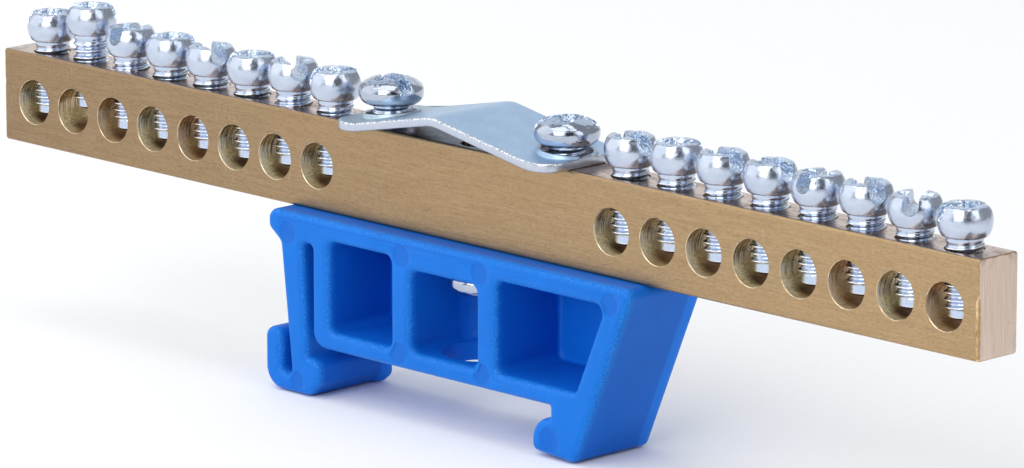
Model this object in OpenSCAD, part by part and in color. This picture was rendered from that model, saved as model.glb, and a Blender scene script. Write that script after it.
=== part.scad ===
// Neutral terminal bar: a drilled brass bar with a row of wire clamp screws on each side
// of a saddle clamp, carried by a moulded holder that snaps onto a 35 mm rail.
// X runs along the bar, Y from its front to its back, Z up from the holder's feet.
// The origin lies below the fixing screw, level with the feet.

/* [Terminal bar] */
// Height of the brass bar
bar_h = 10; // [9:0.1:14]
// Depth of the brass bar, front to back
bar_d = 5.5; // [5:0.1:9]
// Rounding of the bar's long edges
bar_edge_r = 0.3; // [0.1:0.05:0.6]
// Terminals on each side of the saddle clamp
terminals_per_side = 8; // [2:1:12]
// Distance between neighbouring terminals
terminal_pitch = 6.36; // [6:0.02:10]
// Distance between the two innermost terminals
middle_gap = 42.8; // [40:0.1:70]
// From the first terminal to the bar's left end
left_end = 4.7; // [3:0.1:12]
// From the last terminal to the bar's right end
right_end = 4.3; // [3:0.1:12]
// Diameter of a wire hole
wire_hole_d = 4.8; // [3.9:0.1:5.6]
// Height of the wire holes' axis above the bar's underside
wire_hole_z = 4.7; // [3.6:0.1:5.4]

/* [Terminal screws] */
// Thread diameter of a terminal screw
terminal_thread_d = 3.6; // [2.6:0.1:3.8]
// Diameter of the ball head
ball_d = 5.4; // [4:0.1:5.8]
// Height of the ball head between its two flats
ball_h = 3.1; // [2.4:0.1:3.8]
// Diameter of the flat at a terminal screw's tip
tip_d = 2.4; // [1.6:0.1:2.5]
// Length of the tip's taper
tip_taper = 0.5; // [0.2:0.1:1]
// Neck left above the bar when the tip meets the wire hole's floor
neck_spare = 0.3; // [0.1:0.1:2]
// Width of the round-bottomed slot in a ball head
ball_slot_w = 1.3; // [0.8:0.1:1.6]
// Depth of the round-bottomed slot in a ball head
ball_slot_depth = 1.8; // [1:0.1:2.2]
// Width of the cross recess in a ball head
ball_cross_w = 1; // [0.6:0.1:1.4]
// Length of the cross recess in a ball head
ball_cross_l = 3.4; // [2:0.1:4]
// Depth of the cross recess in a ball head
ball_cross_depth = 1.3; // [0.6:0.1:2]
// Radial clearance of every screw in its tapped hole
thread_play = 0.05; // [0.02:0.01:0.1]

/* [Saddle clamp] */
// Distance between the two clamp screws
clamp_pitch = 25.5; // [22:0.1:30]
// Place of the clamp's middle, measured from the fixing screw
clamp_shift = -0.3; // [-1:0.1:1]
// Width of the saddle plate, front to back
saddle_w = 11.7; // [8:0.1:18]
// Thickness of the saddle plate
saddle_t = 0.9; // [0.6:0.1:1.4]
// From a clamp screw to the near end of the saddle plate
saddle_end = 3.1; // [3:0.1:4]
// Corner radius of the saddle plate
saddle_corner_r = 2.3; // [0.5:0.1:3]
// Clear height under the saddle's ridge
roof_h = 2.45; // [1.5:0.05:5]
// Place of the ridge, measured from the clamp's middle
ridge_shift = -0.9; // [-2:0.1:2]
// Diameter of a screw hole in the saddle plate
saddle_hole_d = 5.3; // [4.9:0.1:5.4]
// Wall of the drawn lip round a screw hole
lip_wall = 0.5; // [0.3:0.1:0.6]
// Height of the drawn lip above the plate
lip_h = 0.5; // [0.2:0.1:0.9]
// Thread diameter of a clamp screw
clamp_thread_d = 3.9; // [3:0.1:4.2]
// Head diameter of a clamp screw
clamp_head_d = 6.7; // [6.6:0.1:8]
// Head height of a clamp screw
clamp_head_h = 3; // [2:0.1:3.4]
// Length of a clamp screw below its head
clamp_screw_l = 10; // [8:0.1:11]
// Gap between the left clamp screw's head and the flat of the plate
left_head_gap = 1.3; // [1.2:0.05:2.5]
// Gap between the right clamp screw's head and the flat of the plate
right_head_gap = 0.95; // [0.95:0.05:2.5]

/* [Fixing screw] */
// Thread diameter of the fixing screw
fixing_thread_d = 3.9; // [3:0.1:4.4]
// Head diameter of the fixing screw
fixing_head_d = 5.9; // [5.6:0.1:6.8]
// Head height of the fixing screw
fixing_head_h = 2.7; // [1.4:0.1:3.2]
// Length of thread that the fixing screw has in the bar
fixing_grip = 6.8; // [4:0.1:8]
// Radial clearance of the fixing screw in the holder
fixing_play = 0.25; // [0.1:0.05:0.6]
// Width of the driver's access slot in the holder's floor
access_w = 8.6; // [7:0.1:9]
// Place of the centre of the slot's round end, behind the fixing screw
access_shift = 0.5; // [0:0.1:1.5]

/* [Rail holder] */
// Depth of the holder, front to back
holder_d = 11; // [9.4:0.1:16]
// Height from the feet to the bar's underside
holder_h = 19.1; // [17.5:0.1:24]
// Height from the rail's seat to the bar's underside
frame_h = 13.7; // [11:0.1:15]
// Width of the rail
rail_w = 35; // [34:0.1:37]
// Thickness of the rail's edges
rail_t = 1; // [0.8:0.1:1.5]
// Total side play of the rail between the spring leg and the fixed hook
rail_side_play = 0.6; // [0.2:0.1:1]
// Play of the rail's edges above the catch and the hook
rail_edge_play = 0.25; // [0.1:0.05:0.5]
// Place of the rail's middle, measured from the fixing screw
rail_shift = -2.45; // [-4:0.05:1]
// Gap between the frame and the spring leg at the rail
slit_w = 0.85; // [0.6:0.05:1.4]
// How much wider the gap is at the spring leg's root
slit_flare = 0.7; // [0:0.1:1.2]
// Thickness of the spring leg at the rail
leg_t = 2.4; // [1.6:0.1:3]
// Thickness of the spring leg at its root
leg_root_t = 3.7; // [2.4:0.1:4]
// Reach of the ear beyond the spring leg's root
ear_reach = 1.4; // [1:0.1:2.4]
// Height of the ear's lower edge below the bar
ear_drop = 2; // [1.8:0.1:2.6]
// Reach of the spring leg's catch under the rail
catch_reach = 1.8; // [1:0.1:2.5]
// Gap between the spring leg and its release hook
release_gap = 1.5; // [1:0.1:3]
// Thickness of the release hook
release_t = 2.45; // [1.6:0.1:3.5]
// Height of the release hook's tip above the feet
release_h = 6.5; // [4:0.1:9]
// Thickness of the foot under the release gap
release_floor = 1.9; // [1.2:0.1:2.5]
// Reach of the fixed hook under the rail
hook_reach = 2.55; // [1.5:0.05:2.8]
// Rise of the fixed hook's lower edge towards its nose
hook_rise = 0.45; // [0.1:0.05:0.8]
// Place of the slanted wall's foot beyond the fixed hook's notch
wall_foot = 3.4; // [2.8:0.1:5]
// Lean of the slanted wall over the holder's height
wall_lean = 8.2; // [3:0.1:9]
// Thickness of the holder's straight side wall
side_wall = 2.45; // [1.6:0.05:3.2]
// Thickness of the slanted side wall, measured along the bar
slant_wall = 3; // [1.8:0.1:4]
// Thickness of the two ribs between the pockets
rib_t = 2.8; // [1.6:0.1:4]
// Distance between the two ribs
rib_pitch = 12.5; // [11.4:0.1:15]
// Thickness of the holder's top over the outer pockets
top_wall = 2.2; // [1.4:0.1:3]
// Thickness of the holder's top round the fixing screw
screw_wall = 3.2; // [2:0.1:4.5]
// Thickness of the holder's floor
floor_wall = 1.9; // [1.4:0.1:3]
// Thickness of the holder's back
back_wall = 1.65; // [1.2:0.05:3]
// Corner radius inside the pockets
pocket_r = 0.9; // [0.3:0.1:1.5]
// Corner radius of the frame beside the slit
frame_corner_r = 1.8; // [0.6:0.1:2.2]
// Radius of the holder's small outer corners
corner_r = 0.85; // [0.85:0.05:1]
// Radius of the holder's notches
notch_r = 0.2; // [0.1:0.05:0.25]
// Radius of the ear's upper corner
ear_r = 1.1; // [0.9:0.05:1.15]
// Radius at the slanted wall's foot
foot_r = 0.9; // [0.85:0.05:1.2]
// Rounding of the holder's front and back edges
edge_r = 0.75; // [0.3:0.05:0.75]
// Diameter of an ejector mark on the holder's front
mark_d = 2.4; // [0.8:0.1:2.6]
// Depth of an ejector mark
mark_depth = 0.12; // [0.05:0.01:0.3]

/* [Hidden] */
$fn = 64;
// Overshoot of a cutter beyond the face that it opens
cut = 1;
// Steps of each rounded corner in the moulding's profile
corner_steps = 5;
// Overshoot of an edge cutter, small beside the narrow gaps that it runs through
edge_skin = 0.02;

brass = "#b3965f";
zinc = "#c3ccd8";
blue = "#1f78e0";

// Terminals and their screws
terminal_count = 2 * terminals_per_side;
first_terminal_x = -middle_gap / 2 - (terminals_per_side - 1) * terminal_pitch;
last_terminal_x = -first_terminal_x;
bar_l = last_terminal_x - first_terminal_x + left_end + right_end;
bar_z = holder_h;
bar_top = bar_z + bar_h;
wire_axis_z = bar_z + wire_hole_z;
wire_floor_z = wire_axis_z - wire_hole_d / 2;
terminal_screw_l = bar_top - wire_floor_z + neck_spare;
// Height of each tip above its wire hole's floor, from the left: the second screw stands well up
tip_rise = [0.9, 2.5, 1.1, 1.0, 0.9, 0.9, 1.2, 1.1, 0.8, 1.1, 1.1, 1.1, 1.0, 1.1, 0.9, 0.9];
// Turn of each ball head's slot from the bar's length, from the left
slot_turn = [50, 42, -85, 38, -24, 47, -30, 52, -10, 40, -14, -4, -84, -23, -54, 58];

// Saddle clamp, with the turn of each clamp screw's slot from the bar's length
clamp_left_x = clamp_shift - clamp_pitch / 2;
clamp_right_x = clamp_shift + clamp_pitch / 2;
ridge_x = clamp_shift + ridge_shift;
saddle_left_x = clamp_left_x - saddle_end;
saddle_right_x = clamp_right_x + saddle_end;
left_slope = atan(roof_h / (ridge_x - clamp_left_x));
right_slope = atan(roof_h / (clamp_right_x - ridge_x));
left_slot_turn = -13;
right_slot_turn = 45;

// Widths of a pan head's slot and cross slot, beside its diameter
pan_slot_share = 0.16;
pan_cross_share = 0.62;
// Depths of a pan head's slots, rounding of its edges and height of its shoulder, beside its height
pan_slot_depth_share = 0.45;
pan_cross_depth_share = 0.62;
pan_round_share = 0.36;
pan_shoulder_share = 0.45;

// Shares of the moulding's small forms
// Corner radii of the release gap, beside the gap's width
gap_round_share = 0.45;
// Corner radii of the release hook's tip and heel, beside the hook's thickness
tip_round_share = 0.45;
heel_round_share = 0.95;
// Corner radii of the slit's closed end, beside the slit's width
slit_round_share = 0.7;
// Fall of the ear, the catch and the hook over their reach
nose_slope = 0.25;
// Place of the catch's foot, beside its reach
catch_foot_share = 0.125;
// Height of the catch's lower corner, beside the height below the rail's edge
catch_rise_share = 0.37;
// Diameter of the mark on the fixed hook and on the spring leg's foot, beside the other marks
hook_mark_share = 1.12;
foot_mark_share = 0.88;
// Radius of the hook's nose, beside the height left for it
nose_round_share = 1.09;
// Height of the slit's closed end below the pockets' ceiling
leg_root_drop = 0.8;

// Rail holder, in heights below the bar's underside
rail_left_x = rail_shift - (rail_w + rail_side_play) / 2;
rail_right_x = rail_shift + (rail_w + rail_side_play) / 2;
frame_left_x = rail_left_x + slit_w;
catch_top = frame_h + rail_t + rail_edge_play;
leg_root_x = rail_left_x - slit_flare;
leg_top = top_wall + leg_root_drop;
wall_foot_x = rail_right_x + wall_foot;
ear_x = leg_root_x - leg_root_t - ear_reach;
release_left_x = rail_left_x - leg_t - release_gap - release_t;
pocket_floor = frame_h - floor_wall;
// Height of the hook below the rail's edge, and what its lower corner leaves for its nose
hook_h = holder_h - catch_top;
nose_h = hook_h - hook_reach * nose_slope - hook_rise - corner_r;
// Ejector marks on the holder's front face: place along the bar, height below the bar, share of size
marks = [
    [-22.9, 2.1, 1], [-5.9, 1.8, 1], [5.5, 1.75, 1], [23.9, 1.8, 1],
    [-6.4, 12.15, 1], [5.8, 12.15, 1],
    [-21.6, 17.7, foot_mark_share], [15.45, 17.25, hook_mark_share]
];

function two_digits(n) = str(n < 10 ? "0" : "", n);
function terminal_name(i) = str("terminal_screw_", two_digits(i + 1));
function terminal_x(i) =
    i < terminals_per_side
    ? first_terminal_x + i * terminal_pitch
    : last_terminal_x - (terminal_count - 1 - i) * terminal_pitch;
// Outer face of the slanted wall at a height below the bar
function wall_x(drop) = wall_foot_x + wall_lean * (1 - drop / holder_h);
// Faces of the spring leg at a height below the bar
function leg_inner_x(drop) = leg_root_x + (rail_left_x - leg_root_x) * drop / catch_top;
function leg_outer_x(drop) = leg_inner_x(drop) - leg_root_t - (leg_t - leg_root_t) * drop / catch_top;

// A rectangle with round corners, centred
module rounded_rectangle(size, r) {
    square([size.x - 2 * r, size.y], center = true);
    square([size.x, size.y - 2 * r], center = true);
    for (x = [-1, 1], y = [-1, 1])
        translate([x * (size.x / 2 - r), y * (size.y / 2 - r)])
            circle(r, $fn = 32);
}

// A tapped hole's bore, from a height upwards
module tapped_hole(thread_d, length) {
    cylinder(d = thread_d + 2 * thread_play, h = length);
}

module busbar() {
    color(brass)
        difference() {
            translate([first_terminal_x - left_end, 0, bar_z + bar_h / 2])
                rotate([90, 0, 90])
                    linear_extrude(bar_l)
                        rounded_rectangle([bar_d, bar_h], bar_edge_r);
            for (i = [0 : terminal_count - 1])
                translate([terminal_x(i), 0, wire_axis_z]) {
                    rotate([90, 0, 0])
                        cylinder(d = wire_hole_d, h = bar_d + 2 * cut, center = true);
                    tapped_hole(terminal_thread_d, bar_h);
                }
            for (x = [clamp_left_x, clamp_right_x])
                translate([x, 0, bar_z - cut])
                    tapped_hole(clamp_thread_d, bar_h + 2 * cut);
            translate([0, 0, bar_z - cut])
                tapped_hole(fixing_thread_d, bar_h + 2 * cut);
        }
}

// A ball head's cross section, from its axis outwards
module ball_section() {
    intersection() {
        translate([0, ball_h / 2])
            circle(d = ball_d);
        square([ball_d / 2, ball_h]);
    }
}

// The round-bottomed slot through the head and the short cross recess
module ball_drive() {
    translate([0, 0, ball_h - ball_slot_depth + ball_slot_w / 2]) {
        rotate([0, 90, 0])
            cylinder(d = ball_slot_w, h = ball_d + cut, center = true);
        translate([-(ball_d + cut) / 2, -ball_slot_w / 2, 0])
            cube([ball_d + cut, ball_slot_w, ball_slot_depth + cut]);
    }
    translate([0, 0, ball_h - ball_cross_depth / 2 + cut / 2])
        cube([ball_cross_w, ball_cross_l, ball_cross_depth + cut], center = true);
}

// A screw's plain shank below its head, with a tapered tip
module shank(thread_d, length, end_d) {
    translate([0, 0, tip_taper - length])
        cylinder(d = thread_d, h = length - tip_taper);
    translate([0, 0, -length])
        cylinder(d1 = end_d, d2 = thread_d, h = tip_taper);
}

module terminal_screw(i) {
    rise = tip_rise[i % len(tip_rise)];
    turn = slot_turn[i % len(slot_turn)];
    color(zinc)
        translate([terminal_x(i), 0, wire_floor_z + rise + terminal_screw_l])
            rotate(turn) {
                difference() {
                    rotate_extrude()
                        ball_section();
                    ball_drive();
                }
                shank(terminal_thread_d, terminal_screw_l, tip_d);
            }
}

// A pan head's cross section, from its axis outwards: the crown runs smoothly into its rounded side
module pan_section(head_d, head_h) {
    round_r = head_h * pan_round_share;
    side_x = head_d / 2 - round_r;
    shoulder_z = head_h * pan_shoulder_share;
    fall = head_h - shoulder_z;
    crown_r = (side_x ^ 2 + fall ^ 2 - round_r ^ 2) / (2 * (fall - round_r));
    crown_z = head_h - crown_r;
    ray = 2 * [side_x, shoulder_z - crown_z];
    intersection() {
        square([head_d / 2, head_h]);
        union() {
            for (z = [round_r, shoulder_z])
                translate([side_x, z])
                    circle(round_r);
            square([side_x, shoulder_z]);
            translate([0, round_r])
                square([head_d / 2, shoulder_z - round_r]);
            translate([0, crown_z])
                intersection() {
                    circle(crown_r);
                    polygon([[0, 0], ray, [0, ray.y]]);
                }
        }
    }
}

// A pan-headed screw with a straight slot and a shorter, deeper cross slot; its head stands on z = 0
module pan_screw(head_d, head_h, thread_d, length) {
    slot_w = head_d * pan_slot_share;
    slot_depth = head_h * pan_slot_depth_share;
    cross_l = head_d * pan_cross_share;
    cross_depth = head_h * pan_cross_depth_share;
    difference() {
        rotate_extrude()
            pan_section(head_d, head_h);
        translate([0, 0, head_h - slot_depth / 2 + cut / 2])
            cube([head_d + cut, slot_w, slot_depth + cut], center = true);
        translate([0, 0, head_h - cross_depth / 2 + cut / 2])
            cube([slot_w, cross_l, cross_depth + cut], center = true);
    }
    shank(thread_d, length, thread_d - tip_taper);
}

module clamp_screw(x, head_gap, turn) {
    color(zinc)
        translate([x, 0, bar_top + saddle_t + head_gap])
            rotate(turn)
                pan_screw(clamp_head_d, clamp_head_h, clamp_thread_d, clamp_screw_l);
}

// The folded strip seen from the front: two flat tabs and a shallow roof between the screws
module saddle_section() {
    under = [
        [saddle_left_x, 0], [clamp_left_x, 0], [ridge_x, roof_h], [clamp_right_x, 0], [saddle_right_x, 0]
    ];
    over = [for (i = [4 : -1 : 0]) under[i] + [0, saddle_t]];
    polygon(concat(under, over));
}

// A drawn lip stands square to the fold that it straddles
module at_saddle_hole(x, tilt) {
    translate([x, 0, bar_top])
        rotate([0, tilt, 0])
            children();
}

module saddle_lip() {
    cylinder(d = saddle_hole_d + 2 * lip_wall, h = saddle_t + lip_h);
}

module saddle_hole() {
    translate([0, 0, -cut])
        cylinder(d = saddle_hole_d, h = saddle_t + lip_h + 2 * cut);
}

module saddle_clamp() {
    color(zinc)
        difference() {
            union() {
                intersection() {
                    translate([0, saddle_w / 2, bar_top])
                        rotate([90, 0, 0])
                            linear_extrude(saddle_w)
                                saddle_section();
                    translate([(saddle_left_x + saddle_right_x) / 2, 0, bar_top - cut])
                        linear_extrude(roof_h + saddle_t + 2 * cut)
                            rounded_rectangle([saddle_right_x - saddle_left_x, saddle_w], saddle_corner_r);
                }
                intersection() {
                    union() {
                        at_saddle_hole(clamp_left_x, -left_slope / 2)
                            saddle_lip();
                        at_saddle_hole(clamp_right_x, right_slope / 2)
                            saddle_lip();
                    }
                    translate([saddle_left_x, -saddle_w / 2, bar_top])
                        cube([saddle_right_x - saddle_left_x, saddle_w, roof_h + saddle_t + lip_h]);
                }
            }
            at_saddle_hole(clamp_left_x, -left_slope / 2)
                saddle_hole();
            at_saddle_hole(clamp_right_x, right_slope / 2)
                saddle_hole();
        }
}

// A profile is a list of corners [x, z, radius], taken anticlockwise.
// Its points come back moved inwards by an inset, each corner as an arc.
function unit(v) = v / norm(v);
function side_normal(from, to) = let (d = unit([to.x - from.x, to.y - from.y])) [d.y, -d.x];
function turned(v, angle) = [v.x * cos(angle) - v.y * sin(angle), v.x * sin(angle) + v.y * cos(angle)];
function corner_points(before, corner, after, inset) =
    let (
        n1 = side_normal(before, corner),
        n2 = side_normal(corner, after),
        turn = atan2(n1.x * n2.y - n1.y * n2.x, n1 * n2),
        radius = turn > 0 ? corner.z : -corner.z,
        centre = [corner.x, corner.y] - radius * (n1 + n2) / (1 + n1 * n2)
    )
    [for (k = [0 : corner_steps]) centre + (radius - inset) * turned(n1, turn * k / corner_steps)];
function profile_points(profile, inset) =
    let (count = len(profile))
    [
        for (i = [0 : count - 1])
            let (before = profile[(i + count - 1) % count], after = profile[(i + 1) % count])
            each corner_points(before, profile[i], after, inset)
    ];

// A solid through rings of one profile, each ring given as [y, inset], from front to back
module profile_solid(profile, rings) {
    size = len(profile_points(profile, 0));
    last = len(rings) - 1;
    points = [for (ring = rings, p = profile_points(profile, ring[1])) [p.x, ring[0], bar_z + p.y]];
    sides = [
        for (r = [0 : last - 1], i = [0 : size - 1])
            let (j = (i + 1) % size)
            [r * size + i, r * size + j, (r + 1) * size + j, (r + 1) * size + i]
    ];
    front = [[for (i = [size - 1 : -1 : 0]) i]];
    back = [[for (i = [0 : size - 1]) last * size + i]];
    polyhedron(points, concat(sides, front, back));
}

// The moulding's outline: the frame, the fixed hook, the ear and the spring leg
holder_profile = [
    [wall_foot_x, -holder_h, foot_r],
    [wall_x(0), 0, corner_r],
    [ear_x, 0, ear_r],
    [ear_x, -ear_drop, corner_r],
    [leg_outer_x(leg_top), -leg_top - ear_reach * nose_slope, corner_r],
    [leg_outer_x(catch_top), release_floor - holder_h, release_gap * gap_round_share],
    [release_left_x + release_t, release_floor - holder_h, release_gap * gap_round_share],
    [release_left_x + release_t, release_h - holder_h, release_t * tip_round_share],
    [release_left_x, release_h - holder_h, release_t * tip_round_share],
    [release_left_x, -holder_h, release_t * heel_round_share],
    [rail_left_x + catch_reach * catch_foot_share, -holder_h, corner_r],
    [rail_left_x + catch_reach, hook_h * catch_rise_share - holder_h, corner_r],
    [rail_left_x + catch_reach, -catch_top - catch_reach * nose_slope, corner_r],
    [rail_left_x, -catch_top, notch_r],
    [leg_root_x, -leg_top, slit_w * slit_round_share],
    [frame_left_x, -leg_top, slit_w * slit_round_share],
    [frame_left_x, -frame_h, frame_corner_r],
    [rail_right_x, -frame_h, notch_r],
    [rail_right_x, -catch_top, notch_r],
    [rail_right_x - hook_reach, -catch_top - hook_reach * nose_slope, nose_h * nose_round_share],
    [rail_right_x - hook_reach, -holder_h + hook_rise, corner_r]
];

// A pocket from its left, right, upper and lower sides; the right side may lean
function pocket_profile(left_x, right_top_x, right_low_x, top) = [
    [left_x, -pocket_floor, pocket_r],
    [right_low_x, -pocket_floor, pocket_r],
    [right_top_x, -top, pocket_r],
    [left_x, -top, pocket_r]
];

// A rounded edge in steps: how far along the depth, how far inwards
edge_step = 30;
function edge_point(angle) = edge_r * [1 - cos(angle), 1 - sin(angle)];
// How far the outermost facets of an edge cutter run on past the faces that they round
edge_runout = edge_skin / tan(edge_step / 2);

// A cutter that runs once round the profile and rounds its edge at one face; side -1 is the front
module edge_cutter(profile, side) {
    size = len(profile_points(profile, 0));
    section = concat(
        [[-edge_skin, edge_r + edge_runout]],
        [for (angle = [edge_step : edge_step : 90 - edge_step]) edge_point(angle)],
        [[edge_r + edge_runout, -edge_skin], [-edge_skin, -edge_skin]]
    );
    corners = len(section);
    points = [
        for (s = section, p = profile_points(profile, s[1]))
            [p.x, side * (holder_d / 2 - s[0]), bar_z + p.y]
    ];
    sides = [
        for (r = [0 : corners - 1], i = [0 : size - 1])
            let (j = (i + 1) % size, q = (r + 1) % corners)
            side < 0
            ? [r * size + i, q * size + i, q * size + j, r * size + j]
            : [r * size + i, r * size + j, q * size + j, q * size + i]
    ];
    polyhedron(points, sides);
}

module holder_block() {
    difference() {
        translate([0, holder_d / 2, bar_z])
            rotate([90, 0, 0])
                linear_extrude(holder_d)
                    polygon(profile_points(holder_profile, 0));
        edge_cutter(holder_profile, -1);
        edge_cutter(holder_profile, 1);
    }
}

// A pocket's cutter, flared at the mouth by the rounded edge
module pocket_cutter(profile) {
    profile_solid(profile, concat(
        [[-holder_d / 2 - cut, -edge_r]],
        [for (angle = [0 : edge_step : 90]) [edge_point(angle)[0] - holder_d / 2, -edge_point(angle)[1]]],
        [[holder_d / 2 - back_wall, 0]]
    ));
}

// The slot in the middle pocket's floor: round at its front, open up to the pocket's back
module access_slot() {
    slot_h = floor_wall + 2 * cut;
    translate([0, access_shift, bar_z - frame_h - cut]) {
        cylinder(d = access_w, h = slot_h);
        translate([-access_w / 2, 0, 0])
            cube([access_w, holder_d / 2 - back_wall - access_shift, slot_h]);
    }
}

module rail_holder() {
    rib_x = rib_pitch / 2;
    rib_half = rib_t / 2;
    color(blue)
        difference() {
            holder_block();
            pocket_cutter(pocket_profile(
                frame_left_x + side_wall, -rib_x - rib_half, -rib_x - rib_half, top_wall));
            pocket_cutter(pocket_profile(
                -rib_x + rib_half, rib_x - rib_half, rib_x - rib_half, screw_wall));
            pocket_cutter(pocket_profile(
                rib_x + rib_half,
                wall_x(top_wall) - slant_wall,
                wall_x(pocket_floor) - slant_wall,
                top_wall));
            access_slot();
            translate([0, 0, bar_z - screw_wall - cut])
                cylinder(d = fixing_thread_d + 2 * fixing_play, h = screw_wall + 2 * cut);
            for (m = marks)
                translate([m.x, -holder_d / 2 - cut, bar_z - m.y])
                    rotate([-90, 0, 0])
                        cylinder(d = mark_d * m.z, h = mark_depth + cut);
        }
}

// The fixing screw hangs by its head from the middle pocket's ceiling
module fixing_screw() {
    color(zinc)
        translate([0, 0, bar_z - screw_wall])
            rotate([180, 0, 0])
                pan_screw(fixing_head_d, fixing_head_h, fixing_thread_d, screw_wall + fixing_grip);
}

busbar();
saddle_clamp();
clamp_screw(clamp_left_x, left_head_gap, left_slot_turn);  // clamp_screw_left
clamp_screw(clamp_right_x, right_head_gap, right_slot_turn);  // clamp_screw_right
rail_holder();
fixing_screw();
for (i = [0 : terminal_count - 1])
    terminal_screw(i);
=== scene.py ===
"""Looks of the neutral terminal bar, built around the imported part. Sizes are in mm, the scene in metres."""

import math

import bmesh
import bpy
from mathutils import Matrix, Vector, noise
from mathutils.geometry import delaunay_2d_cdt, intersect_point_line


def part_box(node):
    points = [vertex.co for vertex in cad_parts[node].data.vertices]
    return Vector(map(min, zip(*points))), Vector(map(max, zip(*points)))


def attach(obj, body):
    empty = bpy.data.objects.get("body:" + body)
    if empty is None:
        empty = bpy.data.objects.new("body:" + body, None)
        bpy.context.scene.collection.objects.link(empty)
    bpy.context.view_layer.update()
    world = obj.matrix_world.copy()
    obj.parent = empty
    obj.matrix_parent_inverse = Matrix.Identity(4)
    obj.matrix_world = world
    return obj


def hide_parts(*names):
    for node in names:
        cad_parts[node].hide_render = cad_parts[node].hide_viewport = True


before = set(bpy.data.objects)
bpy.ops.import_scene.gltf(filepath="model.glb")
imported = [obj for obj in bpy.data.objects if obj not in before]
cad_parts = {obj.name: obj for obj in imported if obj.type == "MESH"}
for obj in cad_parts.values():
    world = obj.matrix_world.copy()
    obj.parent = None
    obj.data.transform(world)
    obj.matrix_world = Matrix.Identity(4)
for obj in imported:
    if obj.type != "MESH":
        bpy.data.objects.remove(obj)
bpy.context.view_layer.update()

MM = 0.001


def span(node, axis):
    """How far a node reaches along X, Y or Z (axis 0, 1 or 2), in mm."""
    low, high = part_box(node)
    return round(low[axis] / MM, 2), round(high[axis] / MM, 2)


def middle_x(node):
    low, high = span(node, 0)
    return round((low + high) / 2, 2)


# Bar
BAR_LEFT, BAR_RIGHT = span("busbar", 0)
BAR_D = 2 * span("busbar", 1)[1]
BAR_Z, BAR_TOP = span("busbar", 2)
BAR_EDGE_R = 0.3
# Wear of the sawn ends' edges, and the height up to which the right end is dragged
SAWN_EDGE = 0.11
DRAG_TOP = 25.3
DRAG_FADE = 0.4
# Wire holes with their bevelled rims, which are painted pale as a highlight, and bores of the tapped holes
WIRE_D = 4.8
WIRE_RISE = 4.7
WIRE_Z = BAR_Z + WIRE_RISE
WIRE_RIM = 0.06
TERMINAL_BORE_R = 1.985
CLAMP_BORE_R = 2.0

# Screws: lengths are below the head
TERMINALS = sorted(name[-2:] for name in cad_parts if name.startswith("terminal_screw_"))
TERMINAL_X = [middle_x(f"terminal_screw_{n}") for n in TERMINALS]
CLAMP_X = [middle_x("clamp_screw_left"), middle_x("clamp_screw_right")]
THREAD_R = 1.95
THREAD_PITCH = 0.72
THREAD_DEPTH = 0.34
BALL_R = 2.7
BALL_H = 3.1
BALL_SCREW_L = 8.0
PAN_D = 6.7
CLAMP_HEAD_H = 3
FIXING_HEAD_H = 2.7
PAN_SCREW_L = 10
FIXING_SEAT = span("fixing_screw", 2)[1] - PAN_SCREW_L
# Turn of each slot from the bar's length, in degrees, from the left
TERMINAL_TURNS = [50, 42, -85, 38, -24, 47, -30, 52, -10, 40, -14, -4, -84, -23, -61, 58]
CLAMP_TURNS = {"left": -13, "right": 45}
BURR_SEED = 3

# Saddle plate
PLATE_X = span("saddle_clamp", 0)
PLATE_W = 2 * span("saddle_clamp", 1)[1]
PLATE_T = 0.9
PLATE_CORNER_R = 2.3
PLATE_EDGE_R = 0.16
PLATE_BEND = 0.9
PLATE_HOLE_R = 2.65
RIDGE_X = -1.2
RIDGE_H = round(span("saddle_clamp", 2)[1] - BAR_TOP - PLATE_T, 2)
LEFT_SLOPE = RIDGE_H / (RIDGE_X - CLAMP_X[0])
RIGHT_SLOPE = RIDGE_H / (CLAMP_X[1] - RIDGE_X)
LIP_H = 0.5
LIP_R = 3.05
LIP_FALL = 0.16

# Rail holder, on a rail whose middle lies beside the fixing screw
HOLDER_D = 2 * span("rail_holder", 1)[1]
EDGE_R = 0.75
CORNER_R = 0.85
NOTCH_R = 0.2
RAIL_MIDDLE = -2.45
RAIL_GAP = 35.6
RAIL_LEFT = RAIL_MIDDLE - RAIL_GAP / 2
RAIL_RIGHT = RAIL_MIDDLE + RAIL_GAP / 2
RAIL_EDGE_GAP = 1.25
FRAME_H = 13.7
SEAT_Z = BAR_Z - FRAME_H
RAIL_LOW = SEAT_Z - RAIL_EDGE_GAP
NOSE_SLOPE = 0.25
# Slit, spring leg and the ear above it
SLIT_W = 0.85
SLIT_FLARE = 0.7
SLIT_DROP = 3
SLIT_TOP = BAR_Z - SLIT_DROP
SLIT_END_R = 0.595
FRAME_LEFT = RAIL_LEFT + SLIT_W
FRAME_CORNER_R = 1.8
LEG_T = 2.4
LEG_ROOT_T = 3.7
LEG_ROOT_X = RAIL_LEFT - SLIT_FLARE
EAR_REACH = 1.4
EAR_DROP = 2
EAR_X = LEG_ROOT_X - LEG_ROOT_T - EAR_REACH
EAR_R = 1.1
EAR_ROOT_Z = 15.75
# Release hook left of the leg, catch right of it, and the fixed hook under the slanted wall
RELEASE_GAP = 1.5
RELEASE_GAP_R = 0.675
RELEASE_T = 2.45
RELEASE_TOP = 6.5
RELEASE_FLOOR = 1.9
RELEASE_TIP_R = 1.1
RELEASE_HEEL_R = 2.33
CATCH_REACH = 1.8
CATCH_FOOT = 0.225
CATCH_RISE = 1.535
CATCH_BACK_FOOT = 0.75
HOOK_REACH = 2.55
HOOK_RISE = 0.45
HOOK_NOSE_R = 2.41
HOOK_WALL = 3.4
WALL_FOOT = RAIL_RIGHT + HOOK_WALL
WALL_FOOT_R = 0.9
WALL_LEAN = 8.2
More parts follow.
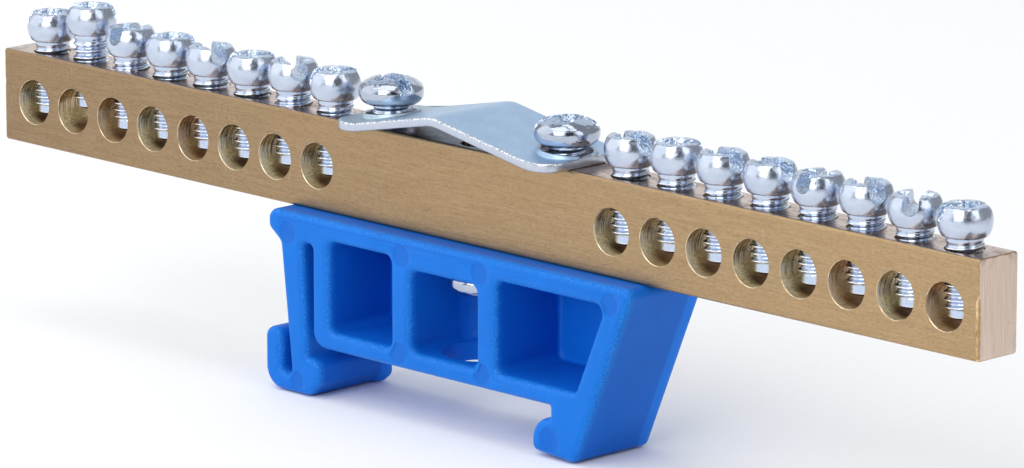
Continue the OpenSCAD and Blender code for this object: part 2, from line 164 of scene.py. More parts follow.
# Pockets, and the radii at which their sides meet their backs
SIDE_WALL = 2.45
SLANT_WALL = 3
FLOOR_WALL = 1.9
TOP_WALL = 2.2
BACK_WALL = 1.65
RIB_T = 2.8
RIB_PITCH = 12.5
POCKET_FLOOR = SEAT_Z + FLOOR_WALL
POCKET_ROOF = BAR_Z - TOP_WALL
POCKET_BACK = HOLDER_D / 2 - BACK_WALL
POCKET_R = 0.9
POCKET_ROOT_R = 0.45
MIDDLE_ROOT_R = 2.4
# Driver's slot and fixing screw's hole
DRIVER_R = 4.3
DRIVER_Y = 0.5
FIXING_HOLE_R = 2.2
# Ejector marks on the front: place along the bar, height, radius
MARKS = [(-22.9, 17, 1.2), (-5.9, 17.3, 1.2), (5.5, 17.35, 1.2), (23.9, 17.3, 1.2),
         (-6.4, 6.95, 1.2), (5.8, 6.95, 1.2), (-21.6, 1.4, 1.05), (15.45, 1.85, 1.35)]

# Camera, in degrees and mm
VIEW_AZIMUTH = 45.589
VIEW_ELEVATION = 12.909
VIEW_DISTANCE = 727.895
VIEW_TARGET = (7.396, -BAR_D / 2, 21.313)
LENS = 254.95

# How far a cutter reaches past a face that it opens, and how near points count as one
CUT = 1
TOUCH = 1e-6
# Steps of an outline's corner, of the holder's rounded edges and of the sheet's
ARC_STEPS = 10
EDGE_STEPS = 8
PLATE_EDGE_STEPS = 3


# Meshes, built in mm

def add_object(name, data):
    obj = bpy.data.objects.new(name, data)
    bpy.context.scene.collection.objects.link(obj)
    return obj


def discard(obj):
    mesh = obj.data
    bpy.data.objects.remove(obj)
    bpy.data.meshes.remove(mesh)


def from_lists(name, verts, faces):
    mesh = bpy.data.meshes.new(name)
    mesh.from_pydata(verts, [], faces)
    bm = bmesh.new()
    bm.from_mesh(mesh)
    bmesh.ops.recalc_face_normals(bm, faces=bm.faces)
    bm.to_mesh(mesh)
    bm.free()
    return add_object(name, mesh)


def ring_lists(rings):
    """A closed shell through rings of equal length; its first two faces are the flat caps."""
    n = len(rings[0])
    verts = [p for ring in rings for p in ring]
    faces = [list(range(n - 1, -1, -1)), [(len(rings) - 1) * n + i for i in range(n)]]
    for r in range(len(rings) - 1):
        for i in range(n):
            j = (i + 1) % n
            faces.append([r * n + i, r * n + j, (r + 1) * n + j, (r + 1) * n + i])
    return verts, faces


def ring_solids(name, shells):
    """One object of several shells, each a list of rings."""
    verts, faces = [], []
    for rings in shells:
        shell_verts, shell_faces = ring_lists(rings)
        faces += [[i + len(verts) for i in face] for face in shell_faces]
        verts += shell_verts
    return from_lists(name, verts, faces)


def ring_solid(name, rings):
    return ring_solids(name, [rings])


def circle(r, count, z=0, centre=(0, 0)):
    turns = [2 * math.pi / count * i for i in range(count)]
    return [(centre[0] + r * math.cos(a), centre[1] + r * math.sin(a), z) for a in turns]


def lathe(profile, count=72, centre=(0, 0)):
    """Level rings of these radii and heights."""
    return [circle(r, count, z, centre) for r, z in profile]


def bored(profile, count, x, z):
    """Upright rings of these places front to back and radii, round a place on the front."""
    return [[(x + px, y, z - pz) for px, pz, _ in circle(r, count)] for y, r in profile]


def quarter(steps):
    return [math.pi / 2 * k / steps for k in range(steps + 1)]


def corner_arc(before, corner, after, inset, steps):
    """The round of an outline's corner, which has its radius as third value, moved in by an inset."""
    def normal(a, b):
        d = Vector((b[0] - a[0], b[1] - a[1])).normalized()
        return Vector((d.y, -d.x))
    n1, n2 = normal(before, corner), normal(corner, after)
    turn = math.atan2(n1.x * n2.y - n1.y * n2.x, n1.dot(n2))
    radius = corner[2] if turn > 0 else -corner[2]
    centre = Vector(corner[:2]) - radius * (n1 + n2) / (1 + n1.dot(n2))
    turns = [Matrix.Rotation(turn * k / steps, 2) for k in range(steps + 1)]
    return [centre + (radius - inset) * (rotate @ n1) for rotate in turns]


def corner_arcs(corners, inset, steps):
    n = len(corners)
    return [corner_arc(corners[i - 1], corners[i], corners[(i + 1) % n], inset, steps) for i in range(n)]


def rounded_box(corners, inset, steps, pieces):
    """Points round four corners and along the sides, which are cut into two numbers of pieces in turn."""
    arcs = corner_arcs(corners, inset, steps)
    points = []
    for i, arc in enumerate(arcs):
        points += arc
        start, end = arc[-1], arcs[(i + 1) % 4][0]
        count = pieces[i % 2]
        points += [start.lerp(end, k / count) for k in range(1, count)]
    return points


def upright(corners, y, inset):
    """A ring that stands across the depth, round the corners of an outline."""
    return [(p.x, y, p.y) for arc in corner_arcs(corners, inset, ARC_STEPS) for p in arc]


def meshed_cap(ring, step):
    """Points inside an upright ring and the triangles that fill it, finer than what is cut from it."""
    first = (0.31, 0.43)
    stagger = 0.5
    flat = [Vector((p[0], p[2])) for p in ring]
    sides = list(zip(flat, flat[1:] + flat[:1]))
    low = [min(p[k] for p in flat) for k in (0, 1)]
    high = [max(p[k] for p in flat) for k in (0, 1)]
    columns, rows = [int((high[k] - low[k]) / step) + 1 for k in (0, 1)]

    def clear(p):
        for a, b in sides:
            foot, share = intersect_point_line(p, a, b)
            if -0.1 < share < 1.1 and (p - foot).length <= step / 4:
                return False
        return True

    grid = [Vector((low[0] + step * (i + first[0] + stagger * (j % 2)), low[1] + step * (j + first[1])))
            for i in range(columns) for j in range(rows)]
    grid = [p for p in grid if clear(p)]
    count = len(flat)
    verts, _, faces, origin, _, _ = delaunay_2d_cdt(flat + grid, [], [list(range(count))], 1, TOUCH)
    index, extra = {}, []
    for v in [v for face in faces for v in face]:
        if v not in index:
            old = [o for o in origin[v] if o < count]
            index[v] = old[0] if old else count + len(extra)
            if not old:
                extra.append((verts[v].x, ring[0][1], verts[v].y))
    return extra, [[index[v] for v in face] for face in faces]


def bake(obj):
    """Turns an object's modifiers into plain mesh."""
    graph = bpy.context.evaluated_depsgraph_get()
    mesh = bpy.data.meshes.new_from_object(obj.evaluated_get(graph), depsgraph=graph)
    old = obj.data
    obj.modifiers.clear()
    obj.data = mesh
    bpy.data.meshes.remove(old)


def combine(obj, other, operation):
    """Joins another object to this one or cuts it away, and discards it."""
    mod = obj.modifiers.new("combine", "BOOLEAN")
    mod.operation = operation
    mod.solver = "MANIFOLD"
    mod.object = other
    bake(obj)
    discard(other)


def soften(obj, width):
    mod = obj.modifiers.new("soften", "BEVEL")
    mod.width = width
    mod.segments = 3
    mod.limit_method = "ANGLE"
    mod.angle_limit = math.radians(35)
    mod.use_clamp_overlap = True
    bake(obj)


def smooth(obj, angle):
    """Smooth shading up to an angle, with flats that stay flat."""
    mesh = obj.data
    mesh.polygons.foreach_set("use_smooth", [True] * len(mesh.polygons))
    mesh.set_sharp_from_angle(angle=math.radians(angle))
    mod = obj.modifiers.new("flats", "WEIGHTED_NORMAL")
    mod.keep_sharp = True
    mod.weight = 80


def give_materials(mesh, materials):
    mesh.materials.clear()
    for material in materials:
        mesh.materials.append(material)


def settle(obj, body, node, angle=35):
    """Takes a finished piece from mm to metres and into the frame."""
    mesh = obj.data
    bm = bmesh.new()
    bm.from_mesh(mesh)
    bmesh.ops.triangulate(bm, faces=[f for f in bm.faces if len(f.verts) > 4])
    bm.to_mesh(mesh)
    bm.free()
    mesh.transform(Matrix.Scale(MM, 4))
    mesh.update()
    smooth(obj, angle)
    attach(obj, body)
    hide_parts(node)


# Materials

def rgba(colour):
    return colour if isinstance(colour, bpy.types.NodeSocket) else (*colour, 1)


class Shader:
    """A procedural material, with short calls for its nodes. Patterns are in mm."""

    def __init__(self, name):
        self.mat = bpy.data.materials.new(name)
        self.mat.use_nodes = True
        self.tree = self.mat.node_tree
        self.bsdf = next(n for n in self.tree.nodes if n.type == "BSDF_PRINCIPLED")
        self.place = self.tree.nodes.new("ShaderNodeTexCoord").outputs["Object"]

    def put(self, node, values):
        """Links outputs to a node's inputs, and sets the inputs that have plain values."""
        for key, value in values.items():
            if isinstance(value, bpy.types.NodeSocket):
                self.tree.links.new(value, node.inputs[key])
            else:
                node.inputs[key].default_value = value

    def node(self, kind, values, **settings):
        node = self.tree.nodes.new(kind)
        for key, value in settings.items():
            setattr(node, key, value)
        self.put(node, values)
        return node

    def noise(self, stretch, detail=3.0, rough=0.5, distortion=0.0):
        """Noise with this many grains a mm along X, Y and Z."""
        grains = [s / MM for s in stretch]
        scaled = self.node("ShaderNodeVectorMath", {0: self.place, 1: grains}, operation="MULTIPLY")
        values = {"Vector": scaled.outputs[0], "Scale": 1.0, "Detail": detail,
                  "Roughness": rough, "Distortion": distortion}
        return self.node("ShaderNodeTexNoise", values).outputs["Fac"]

    def ramp(self, value, low, high, out_low=0.0, out_high=1.0):
        values = {0: value, 1: low, 2: high, 3: out_low, 4: out_high}
        return self.node("ShaderNodeMapRange", values).outputs[0]

    def maths(self, operation, a, b=0.0):
        return self.node("ShaderNodeMath", {0: a, 1: b}, operation=operation).outputs[0]

    def times(self, a, b):
        return self.maths("MULTIPLY", a, b)

    def mix(self, factor, a, b, blend="MIX"):
        values = {0: factor, 6: rgba(a), 7: rgba(b)}
        return self.node("ShaderNodeMix", values, data_type="RGBA", blend_type=blend).outputs[2]

    def tint(self, a, b):
        return self.mix(1.0, a, b, "MULTIPLY")

    def bulge(self):
        """How far the surface bulges: 0.5 is flat, more is an edge and less is a hollow."""
        return self.node("ShaderNodeNewGeometry", {}).outputs["Pointiness"]

    def along(self, axis):
        return self.node("ShaderNodeSeparateXYZ", {0: self.place}).outputs[axis]

    def away(self, axis):
        """The distance from the middle along an axis, on either side."""
        return self.maths("ABSOLUTE", self.along(axis))

    def bump(self, height, strength, distance, below=None):
        """A bump of this many mm, on top of another one if there is one below."""
        values = {"Height": height, "Strength": strength, "Distance": distance * MM}
        if below is not None:
            values["Normal"] = below
        return self.node("ShaderNodeBump", values).outputs[0]

    def finish(self, colour, rough, normal=None, metallic=1.0, specular=0.5):
        values = {"Base Color": colour, "Roughness": rough,
                  "Metallic": metallic, "Specular IOR Level": specular}
        if normal is not None:
            values["Normal"] = normal
        self.put(self.bsdf, values)
        return self.mat


def brass_face():
    """Drawn brass: fine lines along the bar, pale ticks, dark scuffs, and a darker left end."""
    s = Shader("brass_drawn")
    streak = s.noise((0.26, 6, 6), 5, 0.7)
    fine = s.noise((2.2, 7.5, 7.5), 3, 0.65)
    cloud = s.noise((0.09, 0.2, 0.2), 3, 0.55)
    tick = s.ramp(s.noise((7, 0.9, 0.5), 2, 0.5), 0.66, 0.73)
    tick = s.times(tick, s.ramp(s.noise((0.16, 0.3, 0.3), 2, 0.5), 0.5, 0.6))
    scuff = s.ramp(s.noise((0.9, 4, 5), 3, 0.6, 0.4), 0.6, 0.7)
    scuff = s.times(scuff, s.ramp(s.noise((0.07, 0.4, 0.3), 2, 0.5), 0.48, 0.62))
    colour = s.mix(s.ramp(streak, 0.32, 0.68), (0.385, 0.261, 0.141), (0.505, 0.363, 0.207))
    colour = s.mix(s.ramp(cloud, 0.35, 0.7, 0.0, 0.35), colour, (0.50, 0.34, 0.18))
    colour = s.mix(s.ramp(fine, 0.47, 0.68, 0.0, 0.55), colour, (0.33, 0.21, 0.105))
    colour = s.mix(s.times(scuff, 0.55), colour, (0.24, 0.14, 0.065))
    colour = s.mix(s.times(tick, 0.3), colour, (0.80, 0.64, 0.42))
    # Darker towards the left end.
    left_end_darkening = s.mix(s.ramp(s.along(0), 55 * MM, -75 * MM), (1, 1, 1), (0.71, 0.70, 0.74))
    height = s.maths("ADD", s.times(streak, 0.6), s.times(fine, 0.4))
    height = s.maths("ADD", height, s.times(tick, -0.6))
    return s.finish(s.tint(colour, left_end_darkening), s.ramp(fine, 0.3, 0.7, 0.34, 0.46), s.bump(height, 0.5, 0.02))


def brass_sawn():
    """Upright saw marks on the bar's ends, with a few brown spots."""
    s = Shader("brass_sawn")
    grain = s.noise((1, 9, 0.22), 4, 0.7)
    fine = s.noise((1, 26, 0.7), 2, 0.6)
    spot = s.ramp(s.noise((2, 2.4, 1.6), 3, 0.6), 0.62, 0.74)
    colour = s.mix(s.ramp(grain, 0.3, 0.7), (0.60, 0.465, 0.375), (0.80, 0.67, 0.58))
    colour = s.mix(s.times(spot, 0.25), colour, (0.42, 0.27, 0.18))
    height = s.maths("ADD", grain, s.times(fine, 0.5))
    return s.finish(colour, s.ramp(fine, 0.3, 0.7, 0.4, 0.55), s.bump(height, 0.4, 0.03))


def brass_bored():
    """Fine turned rings, in painted light and shade: pale at the mouths, olive above the middle, tan below,
    darker deeper in, and a brown painted shadow under the screw.
    """
    s = Shader("brass_bored")
    ring = s.noise((0.25, 5.0, 0.25), 3, 0.7, 0.3)
    scratch = s.noise((1.2, 2.2, 6.0), 3, 0.7, 0.6)
    blotch = s.noise((0.13, 0.05, 0.05), 2, 0.5)
    depth = s.away(1)
    height = s.along(2)

    def rise(low, high, out_low=0.0, out_high=1.0):
        return s.ramp(height, (WIRE_Z + low) * MM, (WIRE_Z + high) * MM, out_low, out_high)

    # Painted shade and light: the upper wall is olive as if in shade and the lower wall tan as if lit; the
    # rings and scratches on them are the metal's own.
    above = s.mix(s.ramp(ring, 0.42, 0.58), (0.27, 0.20, 0.11), (0.97, 0.85, 0.62))
    below = s.mix(s.ramp(scratch, 0.42, 0.58), (0.72, 0.50, 0.20), (1.0, 0.89, 0.57))
    colour = s.mix(rise(-0.9, 0.1), below, above)
    # Painted light: paler near the mouths.
    mouth = s.times(s.ramp(depth, 1.3 * MM, 2.6 * MM), s.ramp(ring, 0.35, 0.6))
    colour = s.mix(s.times(mouth, 0.85), colour, (1.0, 0.94, 0.78))
    # Painted shade: darker deeper in the bore.
    inner = s.ramp(depth, 1.5 * MM, 0.4 * MM)
    colour = s.mix(s.times(inner, 0.4), colour, (0.28, 0.18, 0.08))
    # Painted shadow: dark brown low in the bore, under the screw's point.
    foot = s.times(rise(-1.3, -2.0), s.ramp(depth, 1.9 * MM, 0.9 * MM))
    colour = s.mix(s.times(foot, 0.9), colour, (0.13, 0.05, 0.02))
    colour = s.mix(s.ramp(blotch, 0.48, 0.6, 0.0, 0.45), colour, (0.56, 0.29, 0.13))
    return s.finish(colour, rise(-0.6, 0.8, 0.52, 0.22), s.bump(ring, 0.7, 0.06))


def brass_rubbed_and_highlight(name, low, high):
    """Pale edges: the dragged one of the sawn end, rubbed bright, and the rims of the wire holes, whose
    paleness is a painted highlight.
    """
    s = Shader(name)
    drag = s.noise((2, 2, 0.7), 3, 0.6)
    colour = s.mix(s.ramp(drag, 0.35, 0.65), low, high)
    return s.finish(colour, s.ramp(drag, 0.3, 0.7, 0.3, 0.42), s.bump(drag, 0.5, 0.05))


def brass_top():
    """The bar's upper side, rolled smoother than its front, stained, with painted shade under the saddle
    plate.
    """
    s = Shader("brass_rolled")
    streak = s.noise((0.15, 5, 5), 4, 0.65)
    stain = s.noise((0.5, 0.8, 0.8), 4, 0.6, 0.5)
    speck = s.noise((4, 4, 4), 3, 0.6)
    colour = s.mix(s.ramp(streak, 0.3, 0.7), (0.46, 0.345, 0.285), (0.60, 0.48, 0.42))
    colour = s.mix(s.ramp(stain, 0.48, 0.64, 0.0, 0.75), colour, (0.21, 0.115, 0.06))
    colour = s.mix(s.ramp(speck, 0.55, 0.68, 0.0, 0.5), colour, (0.80, 0.68, 0.62))
    # Painted shade: darker where the saddle plate stands over the bar.
    painted_shade_under_plate = s.mix(s.ramp(s.away(0), 14 * MM, 10 * MM), (1, 1, 1), (0.5, 0.45, 0.42))
    return s.finish(s.tint(colour, painted_shade_under_plate), s.ramp(stain, 0.3, 0.7, 0.17, 0.3), s.bump(streak, 0.4, 0.02))


def zinc_thread():
    """Rolled thread, blue in its roots, with a painted highlight along its crests."""
    s = Shader("zinc_thread")
    fine = s.noise((6, 6, 6), 3, 0.6)
    colour = s.mix(s.ramp(fine, 0.35, 0.65), (0.45, 0.54, 0.71), (0.60, 0.68, 0.83))
    # Painted highlight: near white where the surface bulges, along the crests.
    colour = s.mix(s.ramp(s.bulge(), 0.52, 0.56), colour, (0.98, 0.98, 1.0))
    return s.finish(colour, s.ramp(fine, 0.3, 0.7, 0.12, 0.24), s.bump(fine, 0.3, 0.02))


def zinc_bright(name, ragged, level=1.0, gloss=0.19):
    """Bright zinc, with the faint peel of a turned head or the dents of a pressed drive."""
    s = Shader(name)
    fine = s.noise((9, 9, 9), 3, 0.6)
    stain = s.noise((0.5, 0.5, 0.8), 3, 0.6)
    low, high = [tuple(level * v for v in c) for c in ((0.50, 0.565, 0.69), (0.595, 0.655, 0.775))]
    colour = s.mix(s.ramp(stain, 0.35, 0.7), low, high)
    if ragged:
        dents = s.noise((3.2, 3.2, 3.2), 2, 0.5, 0.6)
        normal = s.bump(dents, 0.9, 0.22)
        colour = s.mix(s.ramp(dents, 0.4, 0.6, 0.0, 0.8), colour, (0.66, 0.81, 0.98))
        rough = s.ramp(fine, 0.3, 0.7, 0.1, 0.22)
    else:
        normal = s.bump(s.noise((1.4, 1.4, 1.4), 3, 0.5), 0.4, 0.08)
        rough = s.ramp(fine, 0.3, 0.7, gloss, gloss + 0.11)
    return s.finish(colour, rough, s.bump(fine, 0.2, 0.012, normal))


def zinc_rim_highlight():
    """The sheet's upper edge, in dark specks and pale specks that are a painted highlight."""
    s = Shader("zinc_sheet_rim_highlight")
    speck = s.noise((4.5, 4.5, 4.5), 3, 0.6)
    colour = s.mix(s.ramp(speck, 0.42, 0.58), (0.30, 0.34, 0.41), (0.97, 0.98, 1.0))
    return s.finish(colour, s.ramp(speck, 0.3, 0.7, 0.42, 0.22), s.bump(speck, 0.4, 0.03))


def zinc_edge():
    """The sheet's cut edge, with faint upright grain."""
    s = Shader("zinc_sheet_edge")
    speck = s.noise((7, 7, 7), 4, 0.65)
    grain = s.noise((6, 6, 0.5), 3, 0.6)
    colour = s.mix(s.ramp(grain, 0.3, 0.7), (0.48, 0.525, 0.62), (0.55, 0.595, 0.69))
    return s.finish(colour, s.ramp(speck, 0.3, 0.7, 0.25, 0.4), s.bump(grain, 0.08, 0.02))


def zinc_sheet():
    """The sheet's faces: clouded blue zinc with pale specks and dark pits, greyer at its left end as a
    painted reflection.
    """
    s = Shader("zinc_sheet_face")
    speck = s.noise((7, 7, 7), 4, 0.65)
    cloud = s.noise((0.35, 0.35, 0.35), 3, 0.55)
    pit = s.noise((5, 5, 5), 2, 0.5, 0.3)
    colour = s.mix(s.ramp(cloud, 0.35, 0.65), (0.37, 0.52, 0.70), (0.43, 0.58, 0.76))
    # Painted reflection: greyer towards the left end.
    colour = s.mix(s.ramp(s.along(0), -7 * MM, -12 * MM), colour, (0.42, 0.53, 0.60))
    colour = s.mix(s.ramp(speck, 0.4, 0.7, 0.0, 0.45), colour, (0.58, 0.68, 0.79))
    colour = s.mix(s.ramp(pit, 0.62, 0.72, 0.0, 0.55), colour, (0.16, 0.22, 0.32))
    return s.finish(colour, s.ramp(speck, 0.3, 0.7, 0.36, 0.5), s.bump(speck, 0.3, 0.025))


def blue_smooth():
    """Moulded blue where an ejector stood."""
    s = Shader("blue_ejector_mark")
    sand = s.noise((5.2, 5.2, 5.2), 3, 0.6)
    cloud = s.noise((0.12, 0.12, 0.12), 3, 0.5)
    colour = s.mix(s.ramp(cloud, 0.3, 0.7), (0.002, 0.12, 0.53), (0.003, 0.134, 0.58))
    rough = s.ramp(sand, 0.3, 0.7, 0.34, 0.4)
    return s.finish(colour, rough, s.bump(sand, 0.1, 0.02), metallic=0.0, specular=0.18)


def blue_sanded():
    """Moulded blue, sanded by its mould: paler grains, brighter on the edges as a painted highlight, painted
    shade in the pockets and on the sides, and painted light on the pockets' backs.
    """
    s = Shader("blue_moulded")
    sand = s.noise((5.2, 5.2, 5.2), 3, 0.6)
    cloud = s.noise((0.12, 0.12, 0.12), 3, 0.5)
    depth = s.away(1)
    # Painted highlight: a band round the front and back edges, where the grains are brighter.
    edge = s.times(s.ramp(depth, 4.3 * MM, 5.0 * MM), s.ramp(depth, 5.5 * MM, 5.3 * MM))
    grains = s.ramp(sand, 0.45, 0.65)
    colour = s.mix(s.ramp(cloud, 0.3, 0.7), (0.002, 0.14, 0.58), (0.004, 0.16, 0.645))
    # Painted shade: darker within 4.2 mm of the middle of the depth, in the pockets and on the sides; then
    # painted light on the pockets' backs.
    level = s.mix(s.ramp(depth, 4.2 * MM, 4.8 * MM), (0.8, 0.82, 0.95), (1, 1, 1))
    level = s.mix(s.ramp(s.along(1), 3.3 * MM, 3.8 * MM), level, (1.2, 1.2, 1.25))
    colour = s.tint(colour, level)
    colour = s.mix(s.times(grains, 0.1), colour, (0.03, 0.27, 0.88))
    # Painted highlight on the edges' grains.
    colour = s.mix(s.times(s.times(grains, edge), 0.28), colour, (0.09, 0.42, 1.0))
    rough = s.ramp(sand, 0.3, 0.7, 0.34, 0.5)
    return s.finish(colour, rough, s.bump(sand, 0.5, 0.06), metallic=0.0, specular=0.15)


# Brass, zinc and blue, each list in the order of the numbers that faces take
BRASS = [
    brass_face(), brass_sawn(), brass_bored(), brass_top(),
    # The burnished bevel is rubbed brass; the wire holes' pale rims are a painted highlight.
    brass_rubbed_and_highlight("brass_burnished", (0.42, 0.26, 0.11), (0.86, 0.66, 0.36)),
    brass_rubbed_and_highlight("brass_rim_highlight", (0.40, 0.29, 0.16), (0.86, 0.72, 0.52)),
]
DRAWN, SAWN, BORED, ROLLED, BURNISHED, RIM_HIGHLIGHT = range(6)
ZINC_DRIVE, ZINC_THREAD = zinc_bright("zinc_pressed", True), zinc_thread()
BALL_ZINC = [zinc_bright("zinc_bright", False), ZINC_DRIVE, ZINC_THREAD]
PAN_ZINC = [zinc_bright("zinc_pan", False, 0.84, 0.08), ZINC_DRIVE, ZINC_THREAD]
HEAD, DRIVE, THREAD = range(3)
SHEET = [zinc_sheet(), zinc_edge(), zinc_rim_highlight()]
SHEET_FACE, SHEET_EDGE, SHEET_RIM_HIGHLIGHT = range(3)
BLUE = [blue_sanded(), blue_smooth()]


# Rail holder: a rounded outline swept front to back, less its pockets and holes

def wall(z):
    """Outer face of the slanted wall at a height."""
    return WALL_FOOT + WALL_LEAN * z / BAR_Z


def leg(z):
    """Outer face of the spring leg at a height."""
    root = LEG_ROOT_X - LEG_ROOT_T
    return root + (RAIL_LEFT - LEG_T - root) * (BAR_Z - z) / (BAR_Z - RAIL_LOW)


def holder_outline(catch_foot, catch_rise):
    """The moulding's corners: place along the bar, height and radius. The catch slants up from its foot."""
    catch = RAIL_LEFT + CATCH_REACH
    gap = RAIL_LEFT - LEG_T - RELEASE_GAP
    release = gap - RELEASE_T
    hook = RAIL_RIGHT - HOOK_REACH
    return [
        (WALL_FOOT, 0, WALL_FOOT_R), (wall(BAR_Z), BAR_Z, CORNER_R),
        (EAR_X, BAR_Z, EAR_R), (EAR_X, BAR_Z - EAR_DROP, CORNER_R), (leg(SLIT_TOP), EAR_ROOT_Z, CORNER_R),
        (leg(RAIL_LOW), RELEASE_FLOOR, RELEASE_GAP_R), (gap, RELEASE_FLOOR, RELEASE_GAP_R),
        (gap, RELEASE_TOP, RELEASE_TIP_R), (release, RELEASE_TOP, RELEASE_TIP_R),
        (release, 0, RELEASE_HEEL_R), (RAIL_LEFT + catch_foot, 0, CORNER_R), (catch, catch_rise, CORNER_R),
        (catch, RAIL_LOW - CATCH_REACH * NOSE_SLOPE, CORNER_R), (RAIL_LEFT, RAIL_LOW, NOTCH_R),
        (LEG_ROOT_X, SLIT_TOP, SLIT_END_R), (FRAME_LEFT, SLIT_TOP, SLIT_END_R),
        (FRAME_LEFT, SEAT_Z, FRAME_CORNER_R), (RAIL_RIGHT, SEAT_Z, NOTCH_R), (RAIL_RIGHT, RAIL_LOW, NOTCH_R),
        (hook, RAIL_LOW - HOOK_REACH * NOSE_SLOPE, HOOK_NOSE_R), (hook, HOOK_RISE, CORNER_R),
    ]


def front_edge():
    """Places front to back and insets of the rings round the holder's front edge."""
    half = HOLDER_D / 2
    return [(EDGE_R * (1 - math.cos(a)) - half, EDGE_R * (1 - math.sin(a))) for a in quarter(EDGE_STEPS)]


# Plain rings behind the front edge, the first three of which the pockets have too
PLAIN_RINGS = [(y, 0) for y in (-4.155, -3.775, -1.875, 0.5, 2.875)]


def holder_moulding():
    """The swept outline; behind the pockets the catch has a fuller corner."""
    step = 0.4
    slender = holder_outline(CATCH_FOOT, CATCH_RISE)
    full = holder_outline(CATCH_BACK_FOOT, CORNER_R)
    fore = front_edge() + PLAIN_RINGS + [(POCKET_BACK - step, 0)]
    aft = [(POCKET_BACK + step, 0)] + [(-y, inset) for y, inset in reversed(front_edge())]
    rings = [upright(slender, y, inset) for y, inset in fore]
    rings += [upright(full, y, inset) for y, inset in aft]
    verts, faces = ring_lists(rings)
    faces = faces[2:]
    count = len(rings[0])
    for ring, first in ((rings[0], 0), (rings[-1], len(verts) - count)):
        extra, triangles = meshed_cap(ring, 0.8)
        start = len(verts) - count
        faces += [[first + i if i < count else start + i for i in t] for t in triangles]
        verts += extra
    return from_lists("rail_holder_moulding", verts, faces)


def pocket(left, right_top, right_low, roof, root):
    """A pocket that flares at its mouth, with a rounded root at its back."""
    def ring(y, inset, side=0.0, level=0.0):
        corners = [(left + side, POCKET_FLOOR + level), (right_low - side, POCKET_FLOOR + level),
                   (right_top - side, roof - level), (left + side, roof - level)]
        return upright([(*c, POCKET_R) for c in corners], y, inset)

    mouth = [(-HOLDER_D / 2 - CUT, -EDGE_R)] + [(y, -inset) for y, inset in front_edge()]
    shell = [ring(y, inset) for y, inset in mouth + PLAIN_RINGS[:3]]
    for a in quarter(EDGE_STEPS):
        away = 1 - math.cos(a)
        shell.append(ring(POCKET_BACK - root * (1 - math.sin(a)), 0, root * away, POCKET_ROOT_R * away))
    return shell


def pockets():
    rib = (RIB_PITCH + RIB_T) / 2
    inner = (RIB_PITCH - RIB_T) / 2
    slant_top, slant_low = [wall(z) - SLANT_WALL for z in (POCKET_ROOF, POCKET_FLOOR)]
    return [
        pocket(FRAME_LEFT + SIDE_WALL, -rib, -rib, POCKET_ROOF, POCKET_ROOT_R),
        pocket(-inner, inner, inner, FIXING_SEAT, MIDDLE_ROOT_R),
        pocket(rib, slant_top, slant_low, POCKET_ROOF, POCKET_ROOT_R),
    ]


def ejector_mark(x, z, r):
    """A shallow disc with a soft rim."""
    front = -HOLDER_D / 2
    profile = [(front - CUT, r), (front, r), (front + 0.03, r - 0.06), (front + 0.05, r - 0.14)]
    return bored(profile, 40, x, z)


def driver_slot():
    """A round slot through the floor below the fixing screw, cut flat along the pockets' back."""
    reach = math.asin((POCKET_BACK - DRIVER_Y) / DRIVER_R)
    turns = [math.pi - reach + (math.pi + 2 * reach) * k / 60 for k in range(61)]
    section = [(DRIVER_R * math.cos(a), DRIVER_Y + DRIVER_R * math.sin(a)) for a in turns]
    heights = [SEAT_Z - CUT, SEAT_Z + 0.2, SEAT_Z + 0.4, (SEAT_Z + POCKET_FLOOR) / 2,
               POCKET_FLOOR - 0.4, POCKET_FLOOR - 0.2, POCKET_FLOOR + CUT]
    return [[(x, y, z) for x, y in section] for z in heights]


def on_mark(p):
    """Whether a face lies on an ejector mark, a little behind the front."""
    behind = p.center.y + HOLDER_D / 2
    if not 0.002 < behind < 0.06 or p.normal.y >= -0.3:
        return False
    return any(math.hypot(p.center.x - x, p.center.z - z) < r for x, z, r in MARKS)


def rail_holder():
    holder = holder_moulding()
    shells = pockets() + [ejector_mark(*mark) for mark in MARKS]
    combine(holder, ring_solids("pockets", shells), "DIFFERENCE")
    fixing_hole = lathe([(FIXING_HOLE_R, FIXING_SEAT - CUT), (FIXING_HOLE_R, BAR_Z + CUT)])
    combine(holder, ring_solids("bores", [driver_slot(), fixing_hole]), "DIFFERENCE")
    give_materials(holder.data, BLUE)
    for p in holder.data.polygons:
        p.material_index = 1 if on_mark(p) else 0
    settle(holder, "bar_and_holder", "rail_holder")


# Brass bar: drawn stock, sawn at its ends, drilled and tapped

def wear(u):
    """An even but irregular run of small values between 0 and 1 along a sawn edge."""
    waves = ((0.25, 5.1, 0), (0.15, 13.7, 1.3), (0.1, 31.3, 0.4))
    return 0.5 + sum(size * math.sin(rate * u + start) for size, rate, start in waves)


def nick(z):
    """A nick in a worn front edge, just above the dragged stretch."""
    return 1.6 * math.exp(-((z - DRAG_TOP - 0.2) / 0.35) ** 2)


